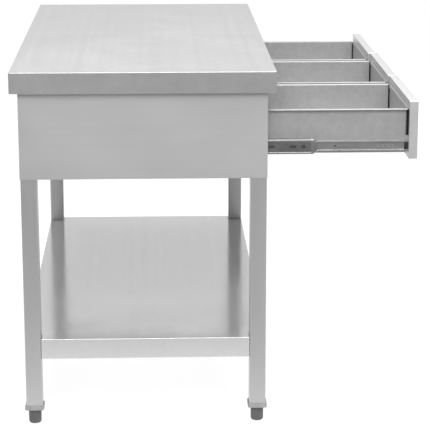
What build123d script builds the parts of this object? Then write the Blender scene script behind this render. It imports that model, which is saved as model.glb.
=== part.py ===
from build123d import *
import os

os.makedirs("parts", exist_ok=True)

# Stainless steel work table with three drawers side by side and an undershelf.
# Millimetres, +Z up, X along the length, the front of the table faces -Y.
# The origin is the centre of the worktop's upper face.
# The drawers stand open at rest, each by its own amount.

# ---------------------------------------------------------------- driving sizes
TABLE_LENGTH = 1200.0
TABLE_WIDTH = 600.0
TABLE_HEIGHT = 838.0
EDGE_HEIGHT = 48.0
SHEET = 1.2
OVERHANG = 18.0
BEND = 2.0

HOUSING_LENGTH = TABLE_LENGTH - 2 * OVERHANG
HOUSING_WIDTH = TABLE_WIDTH - 2 * OVERHANG
HOUSING_BOTTOM = -248.0
HOUSING_END = HOUSING_LENGTH / 2
HOUSING_FRONT = -HOUSING_WIDTH / 2
HOUSING_BACK = HOUSING_WIDTH / 2
RETURN_DEPTH = 16.0
RAIL_DEPTH = 30.0
UNDERSIDE = -SHEET

LEG_SIZE = 38.0
LEG_END = HOUSING_END - SHEET
LEG_SIDE = HOUSING_WIDTH / 2 - SHEET
LEG_X = LEG_END - LEG_SIZE / 2
LEG_Y = LEG_SIDE - LEG_SIZE / 2
LEG_INNER_X = LEG_END - LEG_SIZE
LEG_INNER_Y = LEG_SIDE - LEG_SIZE
TUBE_BORE = LEG_SIZE - 2 * SHEET

FLOOR = -TABLE_HEIGHT
FOOT_HEIGHT = 35.0
FOOT_TOP = FLOOR + FOOT_HEIGHT
FOOT_TOP_RADIUS = 15.5
FOOT_BASE_RADIUS = 14.7
FOOT_BASE_CHAMFER = 4.0
FOOT_RIM = 2.0
FOOT_STEM_RADIUS = 6.0
FOOT_STEM_LENGTH = 40.0
STEM_CHAMFER = 1.0
STEM_TOP = FOOT_TOP + FOOT_STEM_LENGTH
COLLAR_SIZE = 44.4
COLLAR_HEIGHT = 10.0
COLLAR_FLOOR = 3.0
COLLAR_PLUG_HEIGHT = 30.0
# each side of the tube has half of this as clearance in the collar
COLLAR_FIT = 0.2
PLUG_SIZE = TUBE_BORE - COLLAR_FIT
LEG_BOTTOM = FOOT_TOP + COLLAR_FLOOR
STEM_BORE_RADIUS = FOOT_STEM_RADIUS + 0.3

SHELF_TOP = -629.0
SHELF_LENGTH = 2 * LEG_END
SHELF_WIDTH = 2 * LEG_SIDE
SHELF_NOTCH = LEG_SIZE + 0.4
SHELF_SCREW_Z = SHELF_TOP - EDGE_HEIGHT / 2

STIFFENER_WIDTH = 60.0
STIFFENER_DEPTH = 25.0
STIFFENER_FLANGE = 15.0
STIFFENER_Y = 150.0
STIFFENER_LENGTH = 1120.0
STIFFENER_BOTTOM = UNDERSIDE - STIFFENER_DEPTH

# ---------------------------------------------------------------- drawers
DRAWER_PITCH = 360.0
DRAWER_CENTRES = (-DRAWER_PITCH, 0.0, DRAWER_PITCH)
# how far each drawer and its middle slide members stand out at rest
DRAWER_OUT = (348.0, 345.0, 339.0)
MIDDLE_OUT = (141.0, 138.0, 135.0)

FRONT_WIDTH = 357.0
FRONT_HEIGHT = 135.0
FRONT_DEPTH = 20.0
FRONT_TOP = -81.0
FRONT_LIP = 30.0
FRONT_MID_Z = FRONT_TOP - FRONT_HEIGHT / 2
FRONT_BACK_Y = HOUSING_FRONT + FRONT_DEPTH

BOX_SHEET = 1.0
BOX_WIDTH = 322.0
BOX_DEPTH = 490.0
BOX_TOP = -100.0
BOX_BOTTOM = -204.0
BOX_FRONT_Y = FRONT_BACK_Y
BOX_BACK_Y = BOX_FRONT_Y + BOX_DEPTH
BOX_FLANGE = 11.5
BOX_LIP = 2.0
HEM_DROP = 9.0
# the box's walls and bottom are spot-welded, this far apart
WELD_GAP = 0.1
BOX_CORNER_GAP = 4.5
# an angle clip outside each front corner covers the gap, above the slide
CLIP_OFFSET = 4.0
CLIP_DEPTH = 8.0
CLIP_BOTTOM = -162.0

SLIDE_THICKNESS = 12.7
SLIDE_LENGTH = 450.0
SLIDE_Z = -187.0
SLIDE_SETBACK = 24.0
SLIDE_FRONT_Y = HOUSING_FRONT + SLIDE_SETBACK
SLIDE_BACK_Y = SLIDE_FRONT_Y + SLIDE_LENGTH
CABINET_WALL = BOX_WIDTH / 2 + SLIDE_THICKNESS
OUTER_HEIGHT = 46.0
OUTER_DEPTH = 10.0
MIDDLE_SEAT = 2.4
MIDDLE_HEIGHT = 35.2
MIDDLE_DEPTH = 8.0
MIDDLE_FLARE_HEIGHT = 37.0
MIDDLE_FLARE_LENGTH = 14.0
INNER_HEIGHT = 22.0
INNER_DEPTH = 7.7
INNER_FRONT_GAP = 4.0
BUMPER_LENGTH = 7.4
BUMPER_HEIGHT = 17.0
BUMPER_DEPTH = 5.0
BUMPER_CORNER = 2.0
# round holes and slots in the webs, at distances behind the member's own front end
MIDDLE_HOLE_RADIUS = 5.0
MIDDLE_HOLE_SPOTS = (32.0, SLIDE_LENGTH - 32.0)
MIDDLE_SLOT_SPOTS = (56.0, 105.0, 205.0, 305.0)
MIDDLE_SLOT_LENGTH = 16.0
MIDDLE_SLOT_HEIGHT = 7.0
INNER_SLOT_SPOTS = (27.0, 37.0, 50.0)
INNER_SLOT_HEIGHT = 9.0
INNER_SLOT_WIDTH = 3.5
INNER_HOLE_SPOT = 60.0
INNER_HOLE_RADIUS = 2.4

CAGE_SHEET = 0.5
CAGE_LENGTH = 190.0
CAGE_SETBACK = 133.0
CAGE_FRONT_Y = SLIDE_FRONT_Y + CAGE_SETBACK
BALL_PITCH = 22.0
BALLS_IN_ROW = 8
OUTER_CAGE_SEAT = 1.45
OUTER_CAGE_HEIGHT = 40.0
OUTER_CAGE_DEPTH = 6.5
OUTER_BALL_RADIUS = 1.8
OUTER_BALL_SEAT = 5.9
INNER_CAGE_SEAT = 4.15
INNER_CAGE_HEIGHT = 27.8
INNER_CAGE_DEPTH = 6.0
INNER_BALL_RADIUS = 2.4
INNER_BALL_SEAT = 7.4

PARTITION_X = DRAWER_PITCH / 2
PARTITION_WIDTH = DRAWER_PITCH - 2 * CABINET_WALL
PARTITION_BACK_Y = HOUSING_BACK - SHEET
PARTITION_DEPTH = PARTITION_BACK_Y - SLIDE_FRONT_Y
RAIL_GAP = 2.0
RAIL_TOP = FRONT_TOP - FRONT_HEIGHT - RAIL_GAP
CARRIER_RISE = 37.0
CARRIER_DROP = 31.0
CARRIER_TOP = SLIDE_Z + CARRIER_RISE
CARRIER_BOTTOM = SLIDE_Z - CARRIER_DROP
CARRIER_FACE = DRAWER_PITCH + CABINET_WALL

# ---------------------------------------------------------------- fasteners
SCREW_RADIUS = 2.0
SCREW_HOLE_RADIUS = 2.2
SCREW_HEAD_RADIUS = 4.0
SCREW_HEAD_HEIGHT = 1.8
SCREW_LENGTH = 6.0
CROSS_LENGTH = 4.5
RIVET_RADIUS = 1.5
RIVET_HOLE_RADIUS = 1.7
RIVET_HEAD_RADIUS = 2.6
RIVET_HEAD_HEIGHT = 0.8
RIVET_LENGTH = 4.4
SHELF_SCREW_RADIUS = 3.0
SHELF_SCREW_HOLE_RADIUS = 3.2
SHELF_SCREW_HEAD_RADIUS = 5.5
SHELF_SCREW_HEAD_HEIGHT = 3.0
SHELF_SCREW_LENGTH = 9.0
# from the box's sides, and from its hems and its bottom
FRONT_SCREW_INSET = 7.0
FRONT_SCREW_BELOW_HEM = 6.0
FRONT_SCREW_ABOVE_BOTTOM = 9.0
FRONT_SCREW_X = BOX_WIDTH / 2 - FRONT_SCREW_INSET
FRONT_SCREW_ZS = (BOX_TOP - HEM_DROP - FRONT_SCREW_BELOW_HEM, BOX_BOTTOM + FRONT_SCREW_ABOVE_BOTTOM)
# distances behind the front end of the slide
RIVET_SPOTS = (10.0, 358.0, 430.0)
INNER_SCREW_SPOTS = (165.0, 280.0, 400.0)


def save(piece, name):
    """Label a finished piece and write it to its own file."""
    piece.part.label = name
    export_step(piece.part, f"parts/{name}.step")


def block(low, high, mode=Mode.ADD):
    """A square-edged block between two corners, added to or cut from the open part."""
    with Locations(low):
        Box(
            high[0] - low[0],
            high[1] - low[1],
            high[2] - low[2],
            align=(Align.MIN, Align.MIN, Align.MIN),
            mode=mode,
        )


def round_hole(centre, direction, radius, length):
    """A round hole through sheet, centred on a point."""
    with Locations(Plane(origin=centre, z_dir=direction)):
        Cylinder(radius, length, mode=Mode.SUBTRACT)


def fastener(seat_point, head_side, head_radius, head_height, shank_radius, shank_length, cross):
    """A headed fastener: its head stands on the seat, its shank goes through it."""
    seat = Plane(origin=seat_point, z_dir=head_side)
    with Locations(seat):
        Cone(head_radius, head_radius * 0.85, head_height, align=(Align.CENTER, Align.CENTER, Align.MIN))
        Cylinder(shank_radius, shank_length, align=(Align.CENTER, Align.CENTER, Align.MAX))
    if cross:
        recess = head_height * 0.6
        with Locations(seat.offset(head_height)):
            Box(cross, cross / 5, 2 * recess, mode=Mode.SUBTRACT)
            Box(cross / 5, cross, 2 * recess, mode=Mode.SUBTRACT)


def channel_section(back_x, opens, depth, height, sheet, lip):
    """A C-section on the slide's centre line, its web at back_x and its flanges along opens."""
    with Locations((back_x + opens * depth / 2, SLIDE_Z)):
        Rectangle(depth, height)
    with Locations((back_x + opens * (depth + sheet) / 2, SLIDE_Z)):
        Rectangle(depth - sheet, height - 2 * sheet, mode=Mode.SUBTRACT)
    if lip:
        lip_x = back_x + opens * (depth - sheet / 2)
        lip_z = height / 2 - sheet - lip / 2
        with Locations((lip_x, SLIDE_Z + lip_z), (lip_x, SLIDE_Z - lip_z)):
            Rectangle(sheet, lip)


def along_y(front_y, back_y):
    """Extrude the pending section, drawn on the plane at back_y, forwards to front_y."""
    extrude(amount=back_y - front_y)


def plane_at_y(y):
    """The upright plane across the table's width at y, facing the front."""
    return Plane.XZ.offset(-y)


# ---------------------------------------------------------------- worktop
with BuildPart() as worktop:
    with BuildSketch(Plane.XY):
        Rectangle(TABLE_LENGTH, TABLE_WIDTH)
    extrude(amount=-EDGE_HEIGHT)
    fillet(worktop.edges().filter_by(Axis.Z), BEND)
    fillet(worktop.faces().sort_by(Axis.Z)[-1].edges(), BEND)
    with BuildSketch(Plane.XY.offset(-SHEET)):
        Rectangle(TABLE_LENGTH - 2 * SHEET, TABLE_WIDTH - 2 * SHEET)
    extrude(amount=-(EDGE_HEIGHT - 2 * SHEET), mode=Mode.SUBTRACT)
    with BuildSketch(Plane.XY.offset(-EDGE_HEIGHT)):
        Rectangle(TABLE_LENGTH - 2 * RETURN_DEPTH, TABLE_WIDTH - 2 * RETURN_DEPTH)
    extrude(amount=SHEET, mode=Mode.SUBTRACT)
save(worktop, "worktop")


def hat_stiffeners(under_z, length):
    """Two hat channels along the length, welded to the sheet above them."""
    with BuildPart() as channels:
        with BuildSketch(Plane.YZ.offset(-length / 2)):
            channel_z = under_z - STIFFENER_DEPTH / 2
            with Locations((-STIFFENER_Y, channel_z), (STIFFENER_Y, channel_z)):
                Rectangle(STIFFENER_WIDTH, STIFFENER_DEPTH)
            with Locations((-STIFFENER_Y, under_z - SHEET / 2), (STIFFENER_Y, under_z - SHEET / 2)):
                Rectangle(STIFFENER_WIDTH + 2 * STIFFENER_FLANGE, SHEET)
            hollow_z = under_z - (STIFFENER_DEPTH - SHEET) / 2
            with Locations((-STIFFENER_Y, hollow_z), (STIFFENER_Y, hollow_z)):
                Rectangle(STIFFENER_WIDTH - 2 * SHEET, STIFFENER_DEPTH - SHEET, mode=Mode.SUBTRACT)
        extrude(amount=length)
    return channels


save(hat_stiffeners(UNDERSIDE, STIFFENER_LENGTH), "worktop_stiffeners")

# ---------------------------------------------------------------- undershelf


def shelf_outline(inset):
    """The shelf's plan with a notch at each leg, drawn inset from its outer edge."""
    Rectangle(SHELF_LENGTH - 2 * inset, SHELF_WIDTH - 2 * inset)
    with GridLocations(SHELF_LENGTH, SHELF_WIDTH, 2, 2):
        Rectangle(2 * (SHELF_NOTCH + inset), 2 * (SHELF_NOTCH + inset), mode=Mode.SUBTRACT)


with BuildPart() as undershelf:
    with BuildSketch(Plane.XY.offset(SHELF_TOP)):
        shelf_outline(0)
    extrude(amount=-EDGE_HEIGHT)
    fillet(undershelf.faces().sort_by(Axis.Z)[-1].edges(), BEND / 2)
    with BuildSketch(Plane.XY.offset(SHELF_TOP - SHEET)):
        shelf_outline(SHEET)
    extrude(amount=-(EDGE_HEIGHT - 2 * SHEET), mode=Mode.SUBTRACT)
    with BuildSketch(Plane.XY.offset(SHELF_TOP - EDGE_HEIGHT)):
        shelf_outline(RETURN_DEPTH)
    extrude(amount=SHEET, mode=Mode.SUBTRACT)
    for end in (-1, 1):
        for side in (-1, 1):
            hole_centre = (end * (SHELF_LENGTH / 2 - SHELF_NOTCH), side * LEG_Y, SHELF_SCREW_Z)
            round_hole(hole_centre, (1, 0, 0), SHELF_SCREW_HOLE_RADIUS, 4 * SHEET)
save(undershelf, "undershelf")
save(hat_stiffeners(SHELF_TOP - SHEET, STIFFENER_LENGTH), "undershelf_stiffeners")

# ---------------------------------------------------------------- legs, collars and feet
CORNERS = {
    "front_left": (-1, -1),
    "front_right": (1, -1),
    "back_left": (-1, 1),
    "back_right": (1, 1),
}

for corner, (end, side) in CORNERS.items():
    with BuildPart() as leg:
        with BuildSketch(Plane.XY.offset(LEG_BOTTOM)):
            with Locations((end * LEG_X, side * LEG_Y)):
                RectangleRounded(LEG_SIZE, LEG_SIZE, BEND)
                RectangleRounded(TUBE_BORE, TUBE_BORE, BEND - SHEET, mode=Mode.SUBTRACT)
        extrude(amount=UNDERSIDE - LEG_BOTTOM)
        hole_centre = (end * LEG_INNER_X, side * LEG_Y, SHELF_SCREW_Z)
        round_hole(hole_centre, (1, 0, 0), SHELF_SCREW_HOLE_RADIUS, 4 * SHEET)
    save(leg, f"leg_{corner}")

with BuildPart() as leg_collars:
    with BuildSketch(Plane.XY.offset(FOOT_TOP)):
        with GridLocations(2 * LEG_X, 2 * LEG_Y, 2, 2):
            RectangleRounded(COLLAR_SIZE, COLLAR_SIZE, 2 * BEND)
    extrude(amount=COLLAR_HEIGHT)
    with BuildSketch(Plane.XY.offset(LEG_BOTTOM)):
        with GridLocations(2 * LEG_X, 2 * LEG_Y, 2, 2):
            RectangleRounded(LEG_SIZE + COLLAR_FIT, LEG_SIZE + COLLAR_FIT, BEND)
    extrude(amount=COLLAR_HEIGHT - COLLAR_FLOOR, mode=Mode.SUBTRACT)
    with BuildSketch(Plane.XY.offset(LEG_BOTTOM)):
        with GridLocations(2 * LEG_X, 2 * LEG_Y, 2, 2):
            RectangleRounded(PLUG_SIZE, PLUG_SIZE, BEND)
    extrude(amount=COLLAR_PLUG_HEIGHT)
    with BuildSketch(Plane.XY.offset(FOOT_TOP)):
        with GridLocations(2 * LEG_X, 2 * LEG_Y, 2, 2):
            Circle(STEM_BORE_RADIUS)
    extrude(amount=COLLAR_FLOOR + COLLAR_PLUG_HEIGHT, mode=Mode.SUBTRACT)
save(leg_collars, "leg_collars")

for corner, (end, side) in CORNERS.items():
    with BuildPart() as foot:
        with BuildSketch(Plane(origin=(end * LEG_X, side * LEG_Y, 0), x_dir=(1, 0, 0), z_dir=(0, -1, 0))):
            with BuildLine():
                Polyline(
                    (0, FLOOR),
                    (FOOT_BASE_RADIUS - FOOT_BASE_CHAMFER, FLOOR),
                    (FOOT_BASE_RADIUS, FLOOR + FOOT_BASE_CHAMFER),
                    (FOOT_TOP_RADIUS, FOOT_TOP - FOOT_RIM),
                    (FOOT_TOP_RADIUS - FOOT_RIM / 2, FOOT_TOP),
                    (FOOT_STEM_RADIUS, FOOT_TOP),
                    (FOOT_STEM_RADIUS, STEM_TOP - STEM_CHAMFER),
                    (FOOT_STEM_RADIUS - STEM_CHAMFER, STEM_TOP),
                    (0, STEM_TOP),
                    close=True,
                )
            make_face()
        revolve(axis=Axis((end * LEG_X, side * LEG_Y, 0), (0, 0, 1)))
    save(foot, f"foot_{corner}")

# ---------------------------------------------------------------- drawer housing
for name, end in (("left", -1), ("right", 1)):
    outer_x = end * HOUSING_END
    with BuildPart() as side_panel:
        block(
            (min(outer_x, outer_x - end * SHEET), HOUSING_FRONT, HOUSING_BOTTOM),
            (max(outer_x, outer_x - end * SHEET), HOUSING_BACK, UNDERSIDE),
        )
        # the front return covers the leg's front face
        inner_x = end * LEG_INNER_X
        block(
            (min(outer_x, inner_x), HOUSING_FRONT, HOUSING_BOTTOM),
            (max(outer_x, inner_x), HOUSING_FRONT + SHEET, UNDERSIDE),
        )
        # inward returns along the bottom and the top, between the legs
        return_x = outer_x - end * RETURN_DEPTH
        for low_z in (HOUSING_BOTTOM, UNDERSIDE - SHEET):
            block(
                (min(outer_x, return_x), -LEG_INNER_Y, low_z),
                (max(outer_x, return_x), LEG_INNER_Y, low_z + SHEET),
            )
    save(side_panel, f"housing_side_{name}")

with BuildPart() as housing_back:
    block(
        (-LEG_END, HOUSING_BACK - SHEET, HOUSING_BOTTOM),
        (LEG_END, HOUSING_BACK, UNDERSIDE),
    )
    block(
        (-LEG_INNER_X, HOUSING_BACK - RETURN_DEPTH, HOUSING_BOTTOM),
        (LEG_INNER_X, HOUSING_BACK, HOUSING_BOTTOM + SHEET),
    )
save(housing_back, "housing_back")

with BuildPart() as bottom_rail:
    block(
        (-LEG_INNER_X, HOUSING_FRONT, HOUSING_BOTTOM),
        (LEG_INNER_X, HOUSING_FRONT + RAIL_DEPTH, RAIL_TOP),
    )
    block(
        (-LEG_INNER_X, HOUSING_FRONT + SHEET, HOUSING_BOTTOM + SHEET),
        (LEG_INNER_X, HOUSING_FRONT + RAIL_DEPTH, RAIL_TOP - SHEET),
        mode=Mode.SUBTRACT,
    )
save(bottom_rail, "bottom_rail")

with BuildPart() as top_rail:
    block(
        (-LEG_INNER_X, HOUSING_FRONT + SHEET, -EDGE_HEIGHT),
        (LEG_INNER_X, HOUSING_FRONT + RETURN_DEPTH, UNDERSIDE),
    )
    block(
        (-LEG_INNER_X, HOUSING_FRONT + 2 * SHEET, SHEET - EDGE_HEIGHT),
        (LEG_INNER_X, HOUSING_FRONT + RETURN_DEPTH, UNDERSIDE - SHEET),
        mode=Mode.SUBTRACT,
    )
save(top_rail, "top_rail")

for name, end in (("left", -1), ("right", 1)):
    partition_x = end * PARTITION_X
    with BuildPart() as partition:
        # one sheet folded round a narrow front edge, open at the back
        with BuildSketch(Plane.XY.offset(RAIL_TOP)):
            with Locations((partition_x, (SLIDE_FRONT_Y + PARTITION_BACK_Y) / 2)):
                Rectangle(PARTITION_WIDTH, PARTITION_DEPTH)
            with Locations((partition_x, (SLIDE_FRONT_Y + SHEET + PARTITION_BACK_Y) / 2)):
                Rectangle(PARTITION_WIDTH - 2 * SHEET, PARTITION_DEPTH - SHEET, mode=Mode.SUBTRACT)
        extrude(amount=STIFFENER_BOTTOM - RAIL_TOP)
        for spot in RIVET_SPOTS:
            hole_centre = (partition_x, SLIDE_FRONT_Y + spot, SLIDE_Z)
            round_hole(hole_centre, (1, 0, 0), RIVET_HOLE_RADIUS, PARTITION_WIDTH + 2 * SHEET)
    save(partition, f"partition_{name}")

    face_x = end * CARRIER_FACE
    with BuildPart() as carrier:
        mid_z = (CARRIER_TOP + CARRIER_BOTTOM) / 2
        depth = LEG_INNER_X - CARRIER_FACE
        with BuildSketch(plane_at_y(PARTITION_BACK_Y)):
            with Locations((face_x + end * depth / 2, mid_z)):
                Rectangle(depth, CARRIER_TOP - CARRIER_BOTTOM)
            with Locations((face_x + end * (depth + SHEET) / 2, mid_z)):
                Rectangle(depth - SHEET, CARRIER_TOP - CARRIER_BOTTOM - 2 * SHEET, mode=Mode.SUBTRACT)
        along_y(SLIDE_FRONT_Y, PARTITION_BACK_Y)
        for spot in RIVET_SPOTS:
            round_hole((face_x, SLIDE_FRONT_Y + spot, SLIDE_Z), (1, 0, 0), RIVET_HOLE_RADIUS, 4 * SHEET)
    save(carrier, f"slide_carrier_{name}")

# ---------------------------------------------------------------- fasteners of the frame
with BuildPart() as frame_screws:
    for end in (-1, 1):
        for side in (-1, 1):
            seat_x = end * (SHELF_LENGTH / 2 - SHELF_NOTCH - SHEET)
            fastener(
                (seat_x, side * LEG_Y, SHELF_SCREW_Z), (-end, 0, 0), SHELF_SCREW_HEAD_RADIUS,
                SHELF_SCREW_HEAD_HEIGHT, SHELF_SCREW_RADIUS, SHELF_SCREW_LENGTH, 0
            )
    for centre_x in DRAWER_CENTRES:
        for side in (-1, 1):
            seat_x = centre_x + side * (CABINET_WALL - SHEET)
            for spot in RIVET_SPOTS:
                fastener(
                    (seat_x, SLIDE_FRONT_Y + spot, SLIDE_Z), (-side, 0, 0), RIVET_HEAD_RADIUS,
                    RIVET_HEAD_HEIGHT, RIVET_RADIUS, RIVET_LENGTH, 0
                )
save(frame_screws, "frame_screws")


# ---------------------------------------------------------------- drawers
def make_box(name, centre_x, out):
    """The drawer's box, open at the top, with outward flanges along its sides."""
    front_y = BOX_FRONT_Y - out
    back_y = BOX_BACK_Y - out
    # the side walls stop short of the front wall
    side_front_y = front_y + BOX_CORNER_GAP
    left_x = centre_x - BOX_WIDTH / 2 + BOX_SHEET + WELD_GAP
    right_x = centre_x + BOX_WIDTH / 2 - BOX_SHEET - WELD_GAP
    with BuildPart() as box:
        # the bottom sheet lies between the four walls
        block(
            (left_x, front_y + BOX_SHEET + WELD_GAP, BOX_BOTTOM),
            (right_x, back_y - BOX_SHEET - WELD_GAP, BOX_BOTTOM + BOX_SHEET),
        )
        for side in (-1, 1):
            face_x = centre_x + side * BOX_WIDTH / 2
            wall_xs = sorted((face_x, face_x - side * BOX_SHEET))
            block((wall_xs[0], side_front_y, BOX_BOTTOM), (wall_xs[1], back_y, BOX_TOP))
            # each side wall is folded outwards at the top, and down again along its edge
            edge_x = face_x + side * BOX_FLANGE
            flange_xs = sorted((face_x, edge_x))
            lip_xs = sorted((edge_x, edge_x - side * BOX_SHEET))
            block((flange_xs[0], side_front_y, BOX_TOP - BOX_SHEET), (flange_xs[1], back_y, BOX_TOP))
            block((lip_xs[0], side_front_y, BOX_TOP - BOX_LIP), (lip_xs[1], back_y, BOX_TOP))
            clip_top = BOX_TOP - BOX_LIP - WELD_GAP
            clip_x = face_x + side * (CLIP_OFFSET + BOX_SHEET)
            wing_xs = sorted((face_x + side * WELD_GAP, clip_x))
            clip_xs = sorted((clip_x - side * BOX_SHEET, clip_x))
            block((wing_xs[0], front_y, CLIP_BOTTOM), (wing_xs[1], front_y + BOX_SHEET, clip_top))
            block((clip_xs[0], front_y, CLIP_BOTTOM), (clip_xs[1], front_y + CLIP_DEPTH, clip_top))
        # the front and back walls are hemmed inwards
        for outer_y, inward in ((front_y, 1), (back_y, -1)):
            wall_ys = sorted((outer_y, outer_y + inward * BOX_SHEET))
            hem_ys = sorted((outer_y, outer_y + inward * 2 * BOX_SHEET))
            block((left_x, wall_ys[0], BOX_BOTTOM), (right_x, wall_ys[1], BOX_TOP))
            block((left_x, hem_ys[0], BOX_TOP - HEM_DROP), (right_x, hem_ys[1], BOX_TOP))
        for side in (-1, 1):
            for z in FRONT_SCREW_ZS:
                hole_centre = (centre_x + side * FRONT_SCREW_X, front_y, z)
                round_hole(hole_centre, (0, 1, 0), SCREW_HOLE_RADIUS, 4 * BOX_SHEET)
            for spot in INNER_SCREW_SPOTS:
                hole_centre = (centre_x + side * BOX_WIDTH / 2, SLIDE_FRONT_Y - out + spot, SLIDE_Z)
                round_hole(hole_centre, (1, 0, 0), SCREW_HOLE_RADIUS, 4 * BOX_SHEET)
    save(box, f"{name}_box")


def make_front(name, centre_x, out):
    """The drawer's folded front panel, a shallow pan closed by wide lips at the back."""
    back_y = FRONT_BACK_Y - out
    with BuildPart() as front:
        with BuildSketch(plane_at_y(back_y)):
            with Locations((centre_x, FRONT_MID_Z)):
                Rectangle(FRONT_WIDTH, FRONT_HEIGHT)
        extrude(amount=FRONT_DEPTH)
        fillet(front.faces().sort_by(Axis.Y)[0].edges(), BEND)
        with BuildSketch(plane_at_y(back_y - SHEET)):
            with Locations((centre_x, FRONT_MID_Z)):
                Rectangle(FRONT_WIDTH - 2 * SHEET, FRONT_HEIGHT - 2 * SHEET)
        extrude(amount=FRONT_DEPTH - 2 * SHEET, mode=Mode.SUBTRACT)
        with BuildSketch(plane_at_y(back_y)):
            with Locations((centre_x, FRONT_MID_Z)):
                Rectangle(FRONT_WIDTH - 2 * FRONT_LIP, FRONT_HEIGHT - 2 * FRONT_LIP)
        extrude(amount=SHEET, mode=Mode.SUBTRACT)
        for side in (-1, 1):
            for z in FRONT_SCREW_ZS:
                hole_centre = (centre_x + side * FRONT_SCREW_X, back_y, z)
                round_hole(hole_centre, (0, 1, 0), SCREW_HOLE_RADIUS, 4 * SHEET)
    save(front, f"{name}_front")


def make_screws(name, centre_x, out):
    """The screws of one drawer: four hold the front, three hold each inner slide member."""
    with BuildPart() as screws:
        for side in (-1, 1):
            for z in FRONT_SCREW_ZS:
                seat = (centre_x + side * FRONT_SCREW_X, BOX_FRONT_Y - out + BOX_SHEET, z)
                fastener(
                    seat, (0, 1, 0), SCREW_HEAD_RADIUS, SCREW_HEAD_HEIGHT,
                    SCREW_RADIUS, SCREW_LENGTH, CROSS_LENGTH
                )
            for spot in INNER_SCREW_SPOTS:
                seat_x = centre_x + side * (BOX_WIDTH / 2 + SHEET)
                fastener(
                    (seat_x, SLIDE_FRONT_Y - out + spot, SLIDE_Z), (side, 0, 0),
                    SCREW_HEAD_RADIUS, SCREW_HEAD_HEIGHT, SCREW_RADIUS, SCREW_LENGTH, CROSS_LENGTH
                )
    save(screws, f"{name}_screws")


def make_bumpers(name, centre_x, out):
    """A rubber bumper at the front end of each inner slide member."""
    with BuildPart() as bumpers:
        for side in (-1, 1):
            mid_x = centre_x + side * (BOX_WIDTH / 2 + BUMPER_DEPTH / 2)
            back_y = SLIDE_FRONT_Y - out + INNER_FRONT_GAP
            with BuildSketch(plane_at_y(back_y)):
                with Locations((mid_x, SLIDE_Z)):
                    RectangleRounded(BUMPER_DEPTH, BUMPER_HEIGHT, BUMPER_CORNER)
            extrude(amount=BUMPER_LENGTH)
    save(bumpers, f"{name}_bumpers")


def make_outer_member(name, side_name, centre_x, side):
    """The cabinet member of a slide, fixed to a partition or a carrier."""
    wall_x = centre_x + side * CABINET_WALL
    with BuildPart() as member:
        with BuildSketch(plane_at_y(SLIDE_BACK_Y)):
            channel_section(wall_x, -side, OUTER_DEPTH, OUTER_HEIGHT, SHEET, SHEET)
        along_y(SLIDE_FRONT_Y, SLIDE_BACK_Y)
        for spot in RIVET_SPOTS:
            round_hole((wall_x, SLIDE_FRONT_Y + spot, SLIDE_Z), (1, 0, 0), RIVET_HOLE_RADIUS, 4 * SHEET)
    save(member, f"{name}_slide_outer_{side_name}")


def make_middle_member(name, side_name, centre_x, side, out):
    """The middle member, with lightening holes in its web and a flared front end."""
    back_x = centre_x + side * (CABINET_WALL - MIDDLE_SEAT)
    front_y = SLIDE_FRONT_Y - out
    with BuildPart() as member:
        with BuildSketch(plane_at_y(SLIDE_BACK_Y - out)):
            channel_section(back_x, -side, MIDDLE_DEPTH, MIDDLE_HEIGHT, SHEET, 0)
        along_y(front_y, SLIDE_BACK_Y - out)
        with BuildSketch(plane_at_y(front_y + MIDDLE_FLARE_LENGTH)):
            channel_section(back_x, -side, MIDDLE_DEPTH, MIDDLE_FLARE_HEIGHT, SHEET, 0)
        along_y(front_y, front_y + MIDDLE_FLARE_LENGTH)
        web = Plane(origin=(back_x, front_y, SLIDE_Z), x_dir=(0, 1, 0), z_dir=(1, 0, 0))
        with BuildSketch(web):
            for spot in MIDDLE_HOLE_SPOTS:
                with Locations((spot, 0)):
                    Circle(MIDDLE_HOLE_RADIUS)
            for spot in MIDDLE_SLOT_SPOTS:
                with Locations((spot, 0)):
                    SlotOverall(MIDDLE_SLOT_LENGTH, MIDDLE_SLOT_HEIGHT)
        extrude(amount=2 * SHEET, both=True, mode=Mode.SUBTRACT)
    save(member, f"{name}_slide_middle_{side_name}")


def make_inner_member(name, side_name, centre_x, side, out):
    """The drawer member, screwed to the side of the box."""
    face_x = centre_x + side * BOX_WIDTH / 2
    front_y = SLIDE_FRONT_Y - out + INNER_FRONT_GAP
    with BuildPart() as member:
        with BuildSketch(plane_at_y(SLIDE_BACK_Y - out)):
            channel_section(face_x, side, INNER_DEPTH, INNER_HEIGHT, SHEET, 0)
        along_y(front_y, SLIDE_BACK_Y - out)
        for spot in INNER_SCREW_SPOTS:
            round_hole(
                (face_x, SLIDE_FRONT_Y - out + spot, SLIDE_Z), (1, 0, 0), SCREW_HOLE_RADIUS, 4 * SHEET
            )
        web = Plane(origin=(face_x, front_y, SLIDE_Z), x_dir=(0, 1, 0), z_dir=(1, 0, 0))
        with BuildSketch(web):
            for spot in INNER_SLOT_SPOTS:
                with Locations((spot, 0)):
                    SlotOverall(INNER_SLOT_HEIGHT, INNER_SLOT_WIDTH, rotation=90)
            with Locations((INNER_HOLE_SPOT, 0)):
                Circle(INNER_HOLE_RADIUS)
        extrude(amount=2 * SHEET, both=True, mode=Mode.SUBTRACT)
    save(member, f"{name}_slide_inner_{side_name}")


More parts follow.
